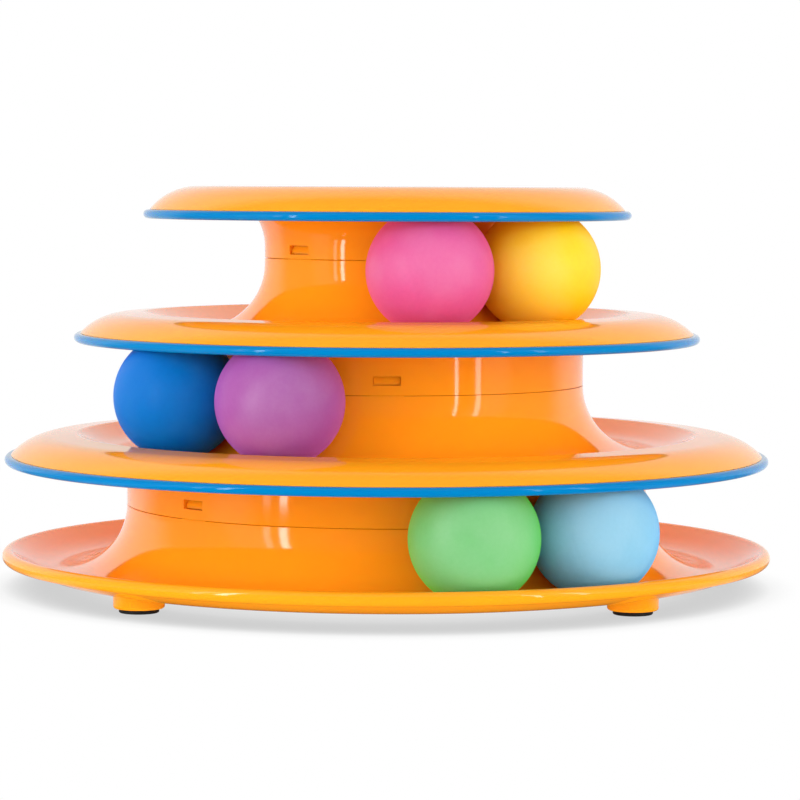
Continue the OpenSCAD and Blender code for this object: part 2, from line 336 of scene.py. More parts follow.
def wall_core(centre: Point, radius: float) -> Shape:
    """Adds a full torus that ends in the middle of a curved wall, to trim what meets it.

    Args:
        centre: Centre of its section.
        radius: Radius of its section.

    Returns:
        The torus.
    """
    deselect()
    bpy.ops.mesh.primitive_torus_add(
        major_radius=centre[0],
        minor_radius=radius,
        major_segments=TOWER_FACETS,
        minor_segments=SECTION_FACETS,
        location=ORIGIN,
    )
    core = bpy.context.object
    core.data.transform(Matrix.Translation((0, 0, centre[1])))
    return core


def join(pieces: Sequence[Shape]) -> Shape:
    """Joins pieces into the first one.

    Args:
        pieces: The objects.

    Returns:
        The first one, which now holds them all.
    """
    if len(pieces) > 1:
        select(*pieces)
        bpy.ops.object.join()
    return pieces[0]


def round_the_tower(piece: Shape, count: int, first_turn: float) -> Shape:
    """Copies a shape at equal turns about the tower's axis, all in one object.

    Args:
        piece: A shape on the +X side.
        count: Number of places.
        first_turn: Turn of the first place in degrees.

    Returns:
        The object with all its copies.
    """
    copies = []
    for i in range(count):
        copy = piece.copy()
        copy.data = piece.data.copy()
        bpy.context.collection.objects.link(copy)
        copy.data.transform(Matrix.Rotation(math.radians(first_turn + 360 * i / count), 4, "Z"))
        copies.append(copy)
    bpy.data.objects.remove(piece)
    return join(copies)


def cut(piece: Shape, tool: Shape) -> Shape:
    """Cuts a tool shape out of a piece and uses it up.

    Args:
        piece: The object that stays.
        tool: The object that is cut out.

    Returns:
        The piece.
    """
    modify(piece, "BOOLEAN", operation="DIFFERENCE", solver="EXACT", object=tool)
    bpy.data.objects.remove(tool)
    return piece


def smooth(piece: Shape, limit: float = 38.0) -> Shape:
    """Shades a piece smooth up to an edge angle, with broad faces leading the shading.

    Args:
        piece: The finished shape.
        limit: Edges sharper than this many degrees stay sharp.

    Returns:
        The piece.
    """
    select(piece)
    bpy.ops.object.shade_smooth_by_angle(angle=math.radians(limit), keep_sharp_edges=True)
    return modify(piece, "WEIGHTED_NORMAL", keep_sharp=True)


# Finishes


class Wiring:
    """Wires any tree of nodes."""

    def __init__(self, tree: bpy.types.NodeTree) -> None:
        """Clears a tree to wire it anew."""
        self.tree = tree
        tree.nodes.clear()

    def feed(self, target: Socket, value: object) -> None:
        """Gives an input a plain value, or joins it to the output of a node.

        Args:
            target: The input.
            value: The plain value or the output.
        """
        if isinstance(value, Socket):
            self.tree.links.new(value, target)
        else:
            target.default_value = value

    def add(
        self, kind: str, inputs: Mapping[str | int, object] | None = None, **settings: object
    ) -> bpy.types.Node:
        """Adds a node.

        Args:
            kind: Type of the node.
            inputs: Plain values and outputs of other nodes, by the input's name or number.
            settings: Settings of the node.

        Returns:
            The node.
        """
        node = self.tree.nodes.new(kind)
        for key, value in settings.items():
            setattr(node, key, value)
        for key, value in (inputs or {}).items():
            self.feed(node.inputs[key], value)
        return node

    def spread(
        self,
        source: Socket,
        low: float,
        high: float,
        ends: tuple[float, float] = (0.3, 0.7),
        eased: bool = False,
    ) -> Socket:
        """Maps a value, such as the middle of a noise pattern, to a range of values.

        Args:
            source: A socket with a value.
            low: Result at the first end and beyond it.
            high: Result at the second end and beyond it.
            ends: The two values of the source.
            eased: Whether the change eases in and out.

        Returns:
            The mapped socket.
        """
        inputs = {"Value": source, "From Min": ends[0], "From Max": ends[1]}
        inputs |= {"To Min": low, "To Max": high}
        way = "SMOOTHSTEP" if eased else "LINEAR"
        return self.add("ShaderNodeMapRange", inputs, interpolation_type=way).outputs["Result"]

    def pick(self, factor: Socket, first: Socket, second: Socket) -> Socket:
        """Picks the first shader where the factor is 0, and the second where it is 1."""
        return self.add("ShaderNodeMixShader", {0: factor, 1: first, 2: second}).outputs[0]


class NodeTree(Wiring):
    """Wires a node material round its shader."""

    def __init__(self, name: str) -> None:
        """Starts a material that holds only a shader and its output.

        Args:
            name: Name of the material.
        """
        self.material = bpy.data.materials.new(name)
        self.material.use_nodes = True
        super().__init__(self.material.node_tree)
        self.shader = self.add("ShaderNodeBsdfPrincipled")
        self.out = self.add("ShaderNodeOutputMaterial", {"Surface": self.shader.outputs["BSDF"]})
        self.place = self.add("ShaderNodeTexCoord").outputs["Object"]

    def put(self, inputs: Mapping[str, object]) -> None:
        """Gives inputs of the shader plain values or outputs of other nodes."""
        for name, value in inputs.items():
            self.feed(self.shader.inputs[name], value)

    def noise(self, scale: float, detail: float = 2.0, roughness: float = 0.5) -> Socket:
        """Adds a noise pattern on Object coordinates, of roughly so many waves to the metre."""
        inputs = {"Vector": self.place, "Scale": scale, "Detail": detail, "Roughness": roughness}
        return self.add("ShaderNodeTexNoise", inputs).outputs["Fac"]

    def between(self, factor: Socket, first: Colour | Socket, second: Colour | Socket) -> Socket:
        """Mixes two colours by a pattern.

        Args:
            factor: The pattern, from 0 to 1.
            first: Linear colour at 0, or a socket that gives it.
            second: Linear colour at 1, or a socket that gives it.

        Returns:
            The mixed colour's socket.
        """
        ends = [c if isinstance(c, Socket) else (*c, 1) for c in (first, second)]
        inputs = {"Factor": factor, "A": ends[0], "B": ends[1]}
        node = self.add("ShaderNodeMix", inputs, data_type="RGBA")
        return next(o for o in node.outputs if o.type == "RGBA")

    def translucent(self, weight: float, reach: Colour, scale: float) -> None:
        """Lets a share of the light scatter under the surface, each colour as far as its reach."""
        named = zip(("Weight", "Radius", "Scale"), (weight, reach, scale))
        self.put({f"Subsurface {name}": value for name, value in named})

    def bump(self, height: Socket, depth: float, strength: float) -> None:
        """Raises the surface by a pattern, to a depth of which only a share shows."""
        inputs = {"Strength": strength, "Distance": depth, "Height": height}
        self.put({"Normal": self.add("ShaderNodeBump", inputs).outputs["Normal"]})


def linear(red: int, green: int, blue: int) -> Colour:
    """Turns an 8-bit display colour into a linear one."""
    parts = [c / 255 for c in (red, green, blue)]
    return tuple(c / 12.92 if c <= 0.04045 else ((c + 0.055) / 1.055) ** 2.4 for c in parts)


def tinted(colour: Colour, share: float) -> Colour:
    """Makes a colour lighter or deeper by a share of itself."""
    return tuple(min(1.0, c * (1 + share)) for c in colour)


def faded(colour: Colour, share: float) -> Colour:
    """Mixes a share of white into a colour."""
    return tuple(c + (1 - c) * share for c in colour)


@dataclass(frozen=True)
class GlossPlastic:
    """High-gloss moulded plastic with faint flow marks and a polished-mould ripple.

    Attributes:
        name: Name of the material.
        colour: Linear colour.
        flow: Share by which the flow marks deepen the colour.
        polish: Roughness of the clean surface.
        handled: Roughness of the handled patches.
        shine: Level of the reflection.
    """

    name: str
    colour: Colour
    flow: float = 0.04
    polish: float = 0.05
    handled: float = 0.09
    shine: float = 0.5

    def build(self) -> bpy.types.Material:
        """Builds the material.

        Returns:
            The material.
        """
        nodes = NodeTree(self.name)
        flow = nodes.spread(nodes.noise(28, 3), 0, 1)
        nodes.put(
            {
                "Base Color": nodes.between(flow, self.colour, tinted(self.colour, -self.flow)),
                "Roughness": nodes.spread(nodes.noise(60, 4, 0.6), self.polish, self.handled),
                "IOR": 1.5,
                "Specular IOR Level": self.shine,
            }
        )
        nodes.translucent(0.25, (1.0, 0.4, 0.1), 3 * MM)
        nodes.bump(nodes.noise(240, 2), 0.02 * MM, 0.15)
        return nodes.material


@dataclass(frozen=True)
class BallSkin:
    """Matte skin of a hollow plastic ball, mottled like pressed foam.

    Attributes:
        name: Name of the material.
        colour: Linear colour.
        rim: Linear colour of the soft light at the ball's edges.
        mottle: Share by which the mottling changes the colour.
        bloom: Share of white in the paler patches.
        shine: Level of the reflection.
        dullness: Least and greatest roughness.
    """

    name: str
    colour: Colour
    rim: Colour
    mottle: float = 0.035
    bloom: float = 0.035
    shine: float = 0.45
    dullness: tuple[float, float] = (0.36, 0.44)

    def build(self) -> bpy.types.Material:
        """Builds the material.

        Returns:
            The material.
        """
        nodes = NodeTree(self.name)
        cloud = nodes.spread(nodes.noise(700, 5, 0.7), 0, 1)
        patch = nodes.spread(nodes.noise(46, 2), 0, 1, (0.38, 0.66), eased=True)
        deep = [tinted(self.colour, share) for share in (-self.mottle, self.mottle)]
        pale = [faded(self.colour, share * self.bloom) for share in (1, 1.6)]
        mottled = (nodes.between(cloud, *pair) for pair in (deep, pale))
        nodes.put(
            {
                "Base Color": nodes.between(patch, *mottled),
                "Roughness": nodes.spread(nodes.noise(900, 2), *self.dullness),
                "Specular IOR Level": self.shine,
                "Sheen Weight": 1.0,
                "Sheen Roughness": 0.6,
                "Sheen Tint": (*self.rim, 1),
            }
        )
        nodes.translucent(0.7, (1.0, 0.9, 0.8), 9 * MM)
        nodes.bump(nodes.noise(1500, 3, 0.6), 0.04 * MM, 0.2)
        return nodes.material


@dataclass(frozen=True)
class PadRubber:
    """Black rubber of the foot pads, with a dull grain.

    Attributes:
        name: Name of the material.
        colour: Linear colour.
    """

    name: str
    colour: Colour

    def build(self) -> bpy.types.Material:
        """Builds the material.

        Returns:
            The material.
        """
        nodes = NodeTree(self.name)
        grain = nodes.spread(nodes.noise(700, 4, 0.7), 0, 1)
        nodes.put(
            {
                "Base Color": nodes.between(grain, self.colour, tinted(self.colour, 0.6)),
                "Roughness": nodes.spread(grain, 0.5, 0.65),
            }
        )
        nodes.bump(nodes.noise(2200, 2), 0.05 * MM, 0.5)
        return nodes.material


class Finish(Enum):
    """The finishes of the toy, one for each material slot of the record."""

    ORANGE = ("orange_plastic", GlossPlastic("orange_gloss", linear(255, 162, 26)))
    BAND_BLUE = ("blue_plastic", GlossPlastic("blue_gloss", linear(0, 121, 182), shine=0.2))
    PAD = ("black_rubber", PadRubber("pad_rubber", linear(22, 21, 21)))
    PINK = ("pink_ball", BallSkin("pink_skin", linear(208, 84, 145), linear(240, 95, 155)))
    YELLOW = ("yellow_ball", BallSkin("yellow_skin", linear(254, 202, 20), linear(255, 190, 0)))
    PURPLE = ("purple_ball", BallSkin("purple_skin", linear(152, 77, 146), linear(168, 80, 190)))
    BLUE = (
        "blue_ball",
        BallSkin("blue_skin", linear(0, 106, 180), linear(0, 90, 200), bloom=0.008, shine=0.1),
    )
    GREEN = ("green_ball", BallSkin("green_skin", linear(111, 178, 115), linear(90, 235, 50)))
    LIGHT_BLUE = (
        "light_blue_ball",
        BallSkin("light_blue_skin", linear(134, 182, 201), linear(40, 180, 250)),
    )

    @property
    def slot(self) -> str:
        """Name of the record's material slot."""
        return self.value[0]

    def material(self) -> bpy.types.Material:
        """The finish's material, built once."""
        found = bpy.data.materials.get(self.value[1].name)
        return found or self.value[1].build()


def deliver(piece: Shape, node: str, finish: Finish, body: str = "tower") -> None:
    """Dresses a piece, hangs it on its body and hides the CAD node that it stands for.

    Args:
        piece: The finished shape.
        node: CAD node that it replaces.
        finish: The piece's finish.
        body: CAD body that it rides on.
    """
    piece.data.materials.clear()
    piece.data.materials.append(finish.material())
    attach(piece, body)
    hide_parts(node)
    LOG.info("%s stands for %s: %d faces", piece.name, node, len(piece.data.polygons))


# Sizes that the mouldings share


@dataclass(frozen=True)
class TowerSizes:
    """Sizes of the tower: the CAD model's, but for a seam gap that is drawn finer.

    Lengths are in metres, and crest_fall is the slope of the crests in degrees.
    """

    track_r: float = 21.0 * MM
    wall: float = 1.8 * MM
    seam_gap: float = 0.1 * MM
    edge_round: float = 0.22 * MM
    plug_h: float = 8.6 * MM
    plug_wall: float = 1.6 * MM
    plug_gap: float = 0.2 * MM
    plug_step: float = 3.2 * MM
    seat_pad_w: float = 10.6 * MM
    snap_count: int = 4
    window_w: float = 8.6 * MM
    window_h: float = 2.9 * MM
    window_up: float = 3.2 * MM
    snap_gap: float = 0.3 * MM
    hook_sunk: float = 1.1 * MM
    hook_face: float = 1.0 * MM
    finger_slot: float = 1.2 * MM
    lip_h: float = 4.7 * MM
    dome_r: float = 20.0 * MM
    band_h: float = 2.9 * MM
    band_out: float = 1.95 * MM
    band_cover: float = 0.8 * MM
    skirt_h: float = 1.3 * MM
    skirt_wall: float = 1.2 * MM
    crest_round: float = 3.0 * MM
    crest_fall: float = 3.4

    @property
    def half_gap(self) -> float:
        """Half of the shadow gap between two levels."""
        return self.seam_gap / 2

    @property
    def outer_r(self) -> float:
        """Radius of a channel's underside."""
        return self.track_r + self.wall


SIZES = TowerSizes()


@dataclass(frozen=True)
class Track:
    """Where one ball track runs, with the column that it goes round.

    Attributes:
        orbit: Distance from the axis to the middle of the channel.
        middle: Height of the middle of the channel.
        seam: Height of the seam on the column.
        hook_turn: Turn of the column's first snap hook in degrees.
    """

    orbit: float
    middle: float
    seam: float
    hook_turn: float

    @property
    def centre(self) -> Point:
        """Centre of the channel's section."""
        return self.orbit, self.middle

    @property
    def column_r(self) -> float:
        """Outside radius of the column."""
        return self.orbit - SIZES.track_r

    @property
    def floor(self) -> float:
        """Height of the channel's floor."""
        return self.middle - SIZES.track_r


LOW_TRACK = Track(105.6 * MM, 26.85 * MM, 26.85 * MM, 45)
MIDDLE_TRACK = Track(84.9 * MM, 65.7 * MM, 65.7 * MM, 0)
TOP_TRACK = Track(60.9 * MM, 105.0 * MM, 106.7 * MM, 45)


@dataclass(frozen=True)
class SnapJoint:
    """The snap joint on top of a column: plug, fingers, hooks and seat pads.

    Attributes:
        track: The track that goes round the column.
    """

    track: Track

    @property
    def plug_face(self) -> float:
        """Outside radius of the plug."""
        return self.track.column_r - SIZES.wall - SIZES.plug_gap

    def draw_plug(self, outline: Outline) -> Outline:
        """Draws the plug, from the channel's end up, over and down to the channel's back.

        Args:
            outline: The section so far, which ends at the channel's end.

        Returns:
            The outline.
        """
        s, seam = SIZES, self.track.seam
        inner = self.plug_face - s.plug_wall
        step_z = seam - s.plug_step
        down = self.track.middle - step_z
        outline.to(self.plug_face, seam - s.half_gap, s.edge_round)
        for x in (self.plug_face, inner):
            outline.to(x, seam + s.plug_h, s.edge_round * 2)
        outline.to(inner, step_z, s.edge_round)
        return outline.to(self.track.orbit - half_width(down, s.outer_r), step_z)

    def slots(self) -> Shape:
        """Makes the shapes that cut the slots on each side of every finger.

        Returns:
            All of them in one object.
        """
        s, seam = SIZES, self.track.seam
        across, half = (s.window_w + s.finger_slot) / 2, s.finger_slot / 2
        start = self.plug_face - s.plug_wall - MM
        end = self.plug_face + s.plug_gap / 2
        low, high = seam + s.seam_gap, seam + s.plug_h + MM
        parts = [
            block("finger_slot", (start, side - half, low), (end, side + half, high))
            for side in (-across, across)
        ]
        return round_the_tower(join(parts), s.snap_count, self.track.hook_turn)

    def details(self) -> list[Shape]:
        """Makes the ramped hooks and the seat pads.

        Returns:
            One object with all hooks and one with all pads.
        """
        s, column_r = SIZES, self.track.column_r
        root, face = self.plug_face, column_r - s.hook_sunk
        sunk = root - s.plug_wall / 2
        window = self.track.middle + s.window_up
        low, high = window + s.snap_gap, window + s.window_h - s.snap_gap
        side = [(sunk, low), (face, low), (face, low + s.hook_face), (root, high), (sunk, high)]
        hook = prism("snap_hook", side, s.window_w - 2 * s.snap_gap)
        inner, outer = column_r - s.wall, column_r - s.plug_gap / 2
        low, high = self.track.seam - s.seam_gap, self.track.seam + s.half_gap
        pad = swept(
            "seat_pad",
            [(inner, low), (outer, low), (outer, high), (inner, high)],
            2 * rise(s.seat_pad_w / 2, column_r),
        )
        turn = self.track.hook_turn
        return [round_the_tower(part, s.snap_count, turn) for part in (hook, pad)]


@dataclass(frozen=True)
class Collar:
    """The collar that a level stands on, with a window for every snap hook.

    Attributes:
        below: The track whose column it stands on.
    """

    below: Track

    @property
    def outer(self) -> float:
        """Outside radius."""
        return self.below.column_r

    @property
    def inner(self) -> float:
        """Inside radius."""
        return self.outer - SIZES.wall

    @property
    def foot(self) -> float:
        """Height of its lower edge."""
        return self.below.seam + SIZES.half_gap

    def windows(self) -> Shape:
        """Makes the shapes that cut the windows.

        Returns:
            All of them in one object.
        """
        s = SIZES
        low, half = self.below.middle + s.window_up, s.window_w / 2
        cutter = block(
            "window", (self.inner - MM, -half, low), (self.outer + MM, half, low + s.window_h)
        )
        return round_the_tower(cutter, s.snap_count, self.below.hook_turn)


@dataclass(frozen=True)
class Rim:
    """A dome that falls from its crest to a shoulder, with the skirt that a band is seated on.

    Attributes:
        dome_at: Distance of the dome's centre from the axis.
        crest: Height of the dome's top.
        drop: Height of the top above the shoulder.
    """

    dome_at: float
    crest: float
    drop: float

    @property
    def centre(self) -> Point:
        """Centre of the dome's section."""
        return self.dome_at, self.crest - SIZES.dome_r

    @property
    def shoulder(self) -> float:
        """Height of the shoulder."""
        return self.crest - self.drop

    @property
    def edge(self) -> float:
        """Distance of the shoulder's outer edge from the axis."""
        return self.dome_at + half_width(SIZES.dome_r - self.drop, SIZES.dome_r)

    def draw(self, outline: Outline, top: float) -> Outline:
        """Draws the dome's inside, its skirt, its shoulder and its outside.

        Args:
            outline: The section so far.
            top: Angle at which the inside starts and the outside ends.

        Returns:
            The outline.
        """
        s = SIZES
        skirt, hem = self.edge - s.band_cover, self.shoulder - s.skirt_h
        inside, low = s.dome_r - s.wall, s.dome_r - self.drop
        outline.arc(self.centre, inside, top, rise(low, inside))
        outline.to(skirt - s.skirt_wall, self.shoulder)
        outline.to(skirt - s.skirt_wall, hem, s.edge_round)
        outline.to(skirt, hem, s.edge_round).to(skirt, self.shoulder)
        start, ends = rise(low, s.dome_r), (s.edge_round, 0)
        return outline.arc(self.centre, s.dome_r, start, top, step=1.5, ends=ends)


# The mouldings


@dataclass(frozen=True)
class Foot:
    """One foot: a boss under the lowest track and the rubber pad in its socket.

    Attributes:
        name: Where the foot is.
        turn: Turn from the front in degrees.
        orbit: Distance from the axis to its middle.
        boss_r: Radius of the boss.
        boss_round: Rounding of the boss's lower edge.
        pad_r: Radius of the pad.
        pad_show: Height of the pad that shows.
        pad_sink: Height of the pad in its socket.
        pad_gap: Gap round the pad in the socket.
        pad_round: Rounding of the pad's lower edge.
        edge: Rounding of the socket's and of the pad's upper edge.
        hollow_h: Depth of the hollow under the pad.
        hollow: Radii of the hollow's top and mouth, as shares of the pad's.
        facets: Facets of a full turn.
    """

    name: str
    turn: float
    orbit: float = LOW_TRACK.orbit
    boss_r: float = 7.9 * MM
    boss_round: float = 0.9 * MM
    pad_r: float = 6.15 * MM
    pad_show: float = 1.3 * MM
    pad_sink: float = 1.2 * MM
    pad_gap: float = 0.1 * MM
    pad_round: float = 0.5 * MM
    edge: float = 0.15 * MM
    hollow_h: float = 0.25 * MM
    hollow: tuple[float, float] = (0.62, 0.68)
    facets: int = 64

    def turned_here(self, name: str, outline: Outline) -> Shape:
        """Turns an outline and moves it to this foot, in its mesh.

        Args:
            name: Name of the new object.
            outline: The section, about its own middle.

        Returns:
            The piece.
        """
        piece = turned(name, outline, self.facets)
        piece.data.transform(Matrix.Translation(standing(self.orbit, self.turn)))
        return piece

    def boss(self, top: float) -> Shape:
        """Turns the boss, with its socket and its rounded lower edge.

        Args:
            top: Height up to which it is turned, above the channel's wall.

        Returns:
            The boss, standing at its place.
        """
        socket, low = self.pad_r + self.pad_gap, self.pad_show
        corner = (self.boss_r - self.boss_round, low + self.boss_round)
        outline = Outline().to(0, low + self.pad_sink).to(socket, low + self.pad_sink)
        outline.to(socket, low, self.edge)
        outline.arc(corner, self.boss_round, -90, 0, step=10)
        outline.to(self.boss_r, top).to(0, top)
        return self.turned_here("foot_boss", outline)

    def build(self) -> None:
        """Builds the rubber pad."""
        top = self.pad_show + self.pad_sink
        inner, outer = (share * self.pad_r for share in self.hollow)
        corner = (self.pad_r - self.pad_round, self.pad_round)
        outline = Outline().to(0, self.hollow_h).to(inner, self.hollow_h).to(outer, 0)
        outline.arc(corner, self.pad_round, -90, 0, step=12)
        outline.to(self.pad_r, top, self.edge).to(0, top)
        node = f"foot_pad_{self.name}"
        deliver(smooth(self.turned_here(f"{node}_rubber", outline)), node, Finish.PAD)


@dataclass(frozen=True)
class BaseDish:
    """The lowest moulding: dish, track, column and snap joint, with the four foot bosses.

    Attributes:
        feet: The four feet.
        track: Its track.
        lean: Lean of the dish's wall in degrees.
        straight: Straight part of the dish's wall.
        bead_r: Radius of the bead round the dish.
        bead_edge: Rounding where the bead meets the underside.
    """

    feet: tuple[Foot, ...]
    track: Track = LOW_TRACK
    lean: float = 33.4
    straight: float = 5.25 * MM
    bead_r: float = 2.18 * MM
    bead_edge: float = 0.3 * MM

    def outline(self) -> Outline:
        """Draws the whole section.

        Returns:
            The outline.
        """
        s, centre = SIZES, self.track.centre
        lean = math.radians(self.lean)
        out = Vector((math.sin(lean), -math.cos(lean)))
        up = Vector((math.cos(lean), math.sin(lean)))
        bead = Vector(centre) + (s.track_r + self.bead_r) * out + self.straight * up
        under = s.wall - self.bead_r
        meets = under * out - half_width(under, self.bead_r) * up
        last = math.degrees(math.atan2(meets.y, meets.x)) % 360 - 360
        start, step = 180 + rise(s.half_gap, s.track_r), 180 + rise(s.plug_step, s.outer_r)
        bottom = 270 + self.lean
        edges = (0, self.bead_edge)
        section = Outline().arc(centre, s.track_r, start, bottom, ends=(s.edge_round, 0))
        section.arc(tuple(bead), self.bead_r, 90 + self.lean, last, step=9, ends=edges)
        section.arc(centre, s.outer_r, bottom, step)
        plug = SnapJoint(self.track).draw_plug(Outline())
        section.corners.extend(reversed(plug.corners[:-1]))
        return section

    def build(self) -> None:
        """Builds the moulding."""
        joint = SnapJoint(self.track)
        body = cut(turned("base_dish_moulding", self.outline()), joint.slots())
        bosses = join([foot.boss(self.track.seam) for foot in self.feet])
        bosses = cut(bosses, wall_core(self.track.centre, SIZES.track_r + SIZES.wall / 2))
        piece = smooth(join([body, bosses, *joint.details()]))
        deliver(piece, "base_track", Finish.ORANGE)


@dataclass(frozen=True)
class TrackLevel:
    """A whole level: collar, channel, ramp, crest, dome and skirt, with the column and snap joint.

    Attributes:
        node: CAD node that the level stands for.
        collar: Collar that stands on the column below.
        track: Its track.
        ramp: Width of the ramp, from the channel's lip to the ridge.
        crest_w: Width of the crest, from the ridge to the dome's centre.
        crest: Height of the dome's top.
        drop: Height of the top above the shoulder.
        foot_edge: Rounding where the collar meets the channel's underside.
    """

    node: str
    collar: Collar
    track: Track
    ramp: float
    crest_w: float
    crest: float
    drop: float = 6.4 * MM
    foot_edge: float = 0.4 * MM

    @property
    def ridge_at(self) -> float:
        """Distance from the axis to the ridge between ramp and crest."""
        lip = half_width(SIZES.track_r - SIZES.lip_h, SIZES.track_r)
        return self.track.orbit + lip + self.ramp

    @property
    def rim(self) -> Rim:
        """The level's dome."""
        return Rim(self.ridge_at + self.crest_w, self.crest, self.drop)

    def ridge(self) -> tuple[Point, float]:
        """Works out the ridge between the ramp and the crest.

        Returns:
            The ridge's corner, and the ramp's lean in degrees above level.
        """
        s, rim = SIZES, self.rim
        fall = math.radians(s.crest_fall)
        run = rim.dome_at + s.dome_r * math.sin(fall) - self.ridge_at
        height = rim.centre[1] + s.dome_r * math.cos(fall) + run * math.tan(fall)
        out, up = self.ridge_at - self.track.orbit, height - self.track.middle
        lean = math.atan2(out, -up) - math.acos(s.track_r / math.hypot(out, up))
        return (self.ridge_at, height), math.degrees(lean)

    def under_ridge(self, lean: float) -> Point:
        """Finds where the ramp's underside meets the crest's.

        Args:
            lean: The ramp's lean in degrees.

        Returns:
            The corner.
        """
        s = SIZES
        lean, fall = math.radians(lean), math.radians(s.crest_fall)
        below = Vector((math.sin(lean), -math.cos(lean)))
        above = Vector((math.sin(fall), math.cos(fall)))
        deep = below.x * self.track.orbit + below.y * self.track.middle + s.outer_r
        high = above @ Vector(self.rim.centre) + s.dome_r - s.wall
        return tuple(Matrix((below, above)).inverted() @ Vector((deep, high)))

    def outline(self) -> Outline:
        """Draws the whole section, from the collar's foot round and back to it.

        Returns:
            The outline.
        """
        s, track, foot = SIZES, self.track, self.collar.foot
        outer, inner = (
            360 - math.degrees(math.acos((x - track.orbit) / s.outer_r))
            for x in (self.collar.outer, self.collar.inner)
        )
        ridge, lean = self.ridge()
        bottom = 270 + lean
        section = Outline().to(self.collar.outer, foot, s.edge_round)
        section.arc(track.centre, s.outer_r, outer, bottom, ends=(self.foot_edge, 0))
        section.to(*self.under_ridge(lean), s.crest_round)
        self.rim.draw(section, 90 - s.crest_fall).to(*ridge, s.crest_round)
        over = track.seam - s.half_gap - track.middle
        section.arc(track.centre, s.track_r, bottom, 180 - rise(min(0, over), s.track_r))
        if over > 0:
            section.to(track.column_r, track.middle + over, s.edge_round)
        SnapJoint(track).draw_plug(section)
        step = 180 + rise(track.middle - track.seam + s.plug_step, s.outer_r)
        section.arc(track.centre, s.outer_r, step, inner)
        return section.to(self.collar.inner, foot, s.edge_round)

    def build(self) -> None:
        """Builds the moulding."""
        joint = SnapJoint(self.track)
        body = turned(f"{self.node}_moulding", self.outline())
        body = cut(body, join([self.collar.windows(), joint.slots()]))
        deliver(smooth(join([body, *joint.details()])), self.node, Finish.ORANGE)


@dataclass(frozen=True)
class TopCap:
    """The flared cap with its domed rim, its open funnel and the bar across it.

    Attributes:
        collar: Collar that stands on the column below.
        flare_r: Radius of the flare's underside.
        flare_z: Height of the flare's centre.
        land: Width of the level land on top.
        crest: Height of the cap.
        drop: Height of the crest above the shoulder.
        bar_w: Width of the bar.
        bar_h: Thickness of the bar.
        bar_down: Depth of the bar's top below the crest.
        bar_flare: Radius of the curves that widen its ends.
        bar_facets: Facets of each of these curves.
        bar_round: Rounding of its edges.
    """

    collar: Collar
    flare_r: float = 17.8 * MM
    flare_z: float = 110.2 * MM
    land: float = 3.9 * MM
    crest: float = 129.8 * MM
    drop: float = 7.6 * MM
    bar_w: float = 12.0 * MM
    bar_h: float = 3.4 * MM
    bar_down: float = 5.0 * MM
    bar_flare: float = 9.0 * MM
    bar_facets: int = 15
    bar_round: float = 0.8 * MM

    @property
    def flare(self) -> Point:
        """Centre of the flare's section."""
        return self.collar.outer + self.flare_r, self.flare_z

    @property
    def rim(self) -> Rim:
        """The cap's dome."""
        return Rim(self.flare[0] + self.land, self.crest, self.drop)

    def outline(self) -> Outline:
        """Draws the whole section.

        Returns:
            The outline.
        """
        s, foot = SIZES, self.collar.foot
        section = Outline().to(self.collar.outer, foot, s.edge_round)
        section.arc(self.flare, self.flare_r, 180, 90)
        self.rim.draw(section, 90)
        section.arc(self.flare, self.flare_r + s.wall, 90, 180)
        return section.to(self.collar.inner, foot, s.edge_round)

    def bar(self) -> Shape:
        """Models the safety bar, rounded along its edges and trimmed to the funnel's wall.

        Returns:
            The bar.
        """
        corner = (self.collar.outer - self.bar_flare, self.bar_w / 2 + self.bar_flare)
        side = [(self.flare[0], corner[1])]
        for i in range(self.bar_facets + 1):
            side.append(polar(corner, self.bar_flare, -90 * i / self.bar_facets))
        back = [*side, *((-x, y) for x, y in reversed(side))]
        low = self.crest - self.bar_down - self.bar_h
        piece = draw("safety_bar", [*back, *((x, -y) for x, y in reversed(back))])
        bpy.ops.mesh.edge_face_add()
        bpy.ops.transform.rotate(value=math.pi / 2, orient_axis="X", center_override=ORIGIN)
        bpy.ops.transform.translate(value=(0, 0, low))
        bpy.ops.mesh.extrude_region_move(TRANSFORM_OT_translate={"value": (0, 0, self.bar_h)})
        close_up(piece)
        modify(piece, "BEVEL", width=self.bar_round, segments=3, limit_method="ANGLE")
        return cut(piece, wall_core(self.flare, self.flare_r + SIZES.wall / 2))

    def build(self) -> None:
        """Builds the moulding."""
        body = cut(turned("top_cap_moulding", self.outline()), self.collar.windows())
        deliver(smooth(join([body, self.bar()])), "top_cap", Finish.ORANGE)


@dataclass(frozen=True)
class RimBand:
    """A blue band with a round edge, seated under a dome's shoulder.

    Attributes:
        node: CAD node that the band stands for.
        rim: The dome that covers it.
        facets: Facets of its full turn.
    """

    node: str
    rim: Rim
    facets: int = 256

    def build(self) -> None:
        """Builds the band."""
        s, top = SIZES, self.rim.shoulder
        inner, nose = self.rim.edge - s.band_cover, s.band_h / 2
        middle = (self.rim.edge + s.band_out - nose, top - nose)
        section = Outline().to(inner, top - s.band_h, s.edge_round)
        section.arc(middle, nose, -90, 90, step=9).to(inner, top, s.edge_round)
        ring = smooth(turned(f"{self.node}_ring", section, self.facets))
        deliver(ring, self.node, Finish.BAND_BLUE)


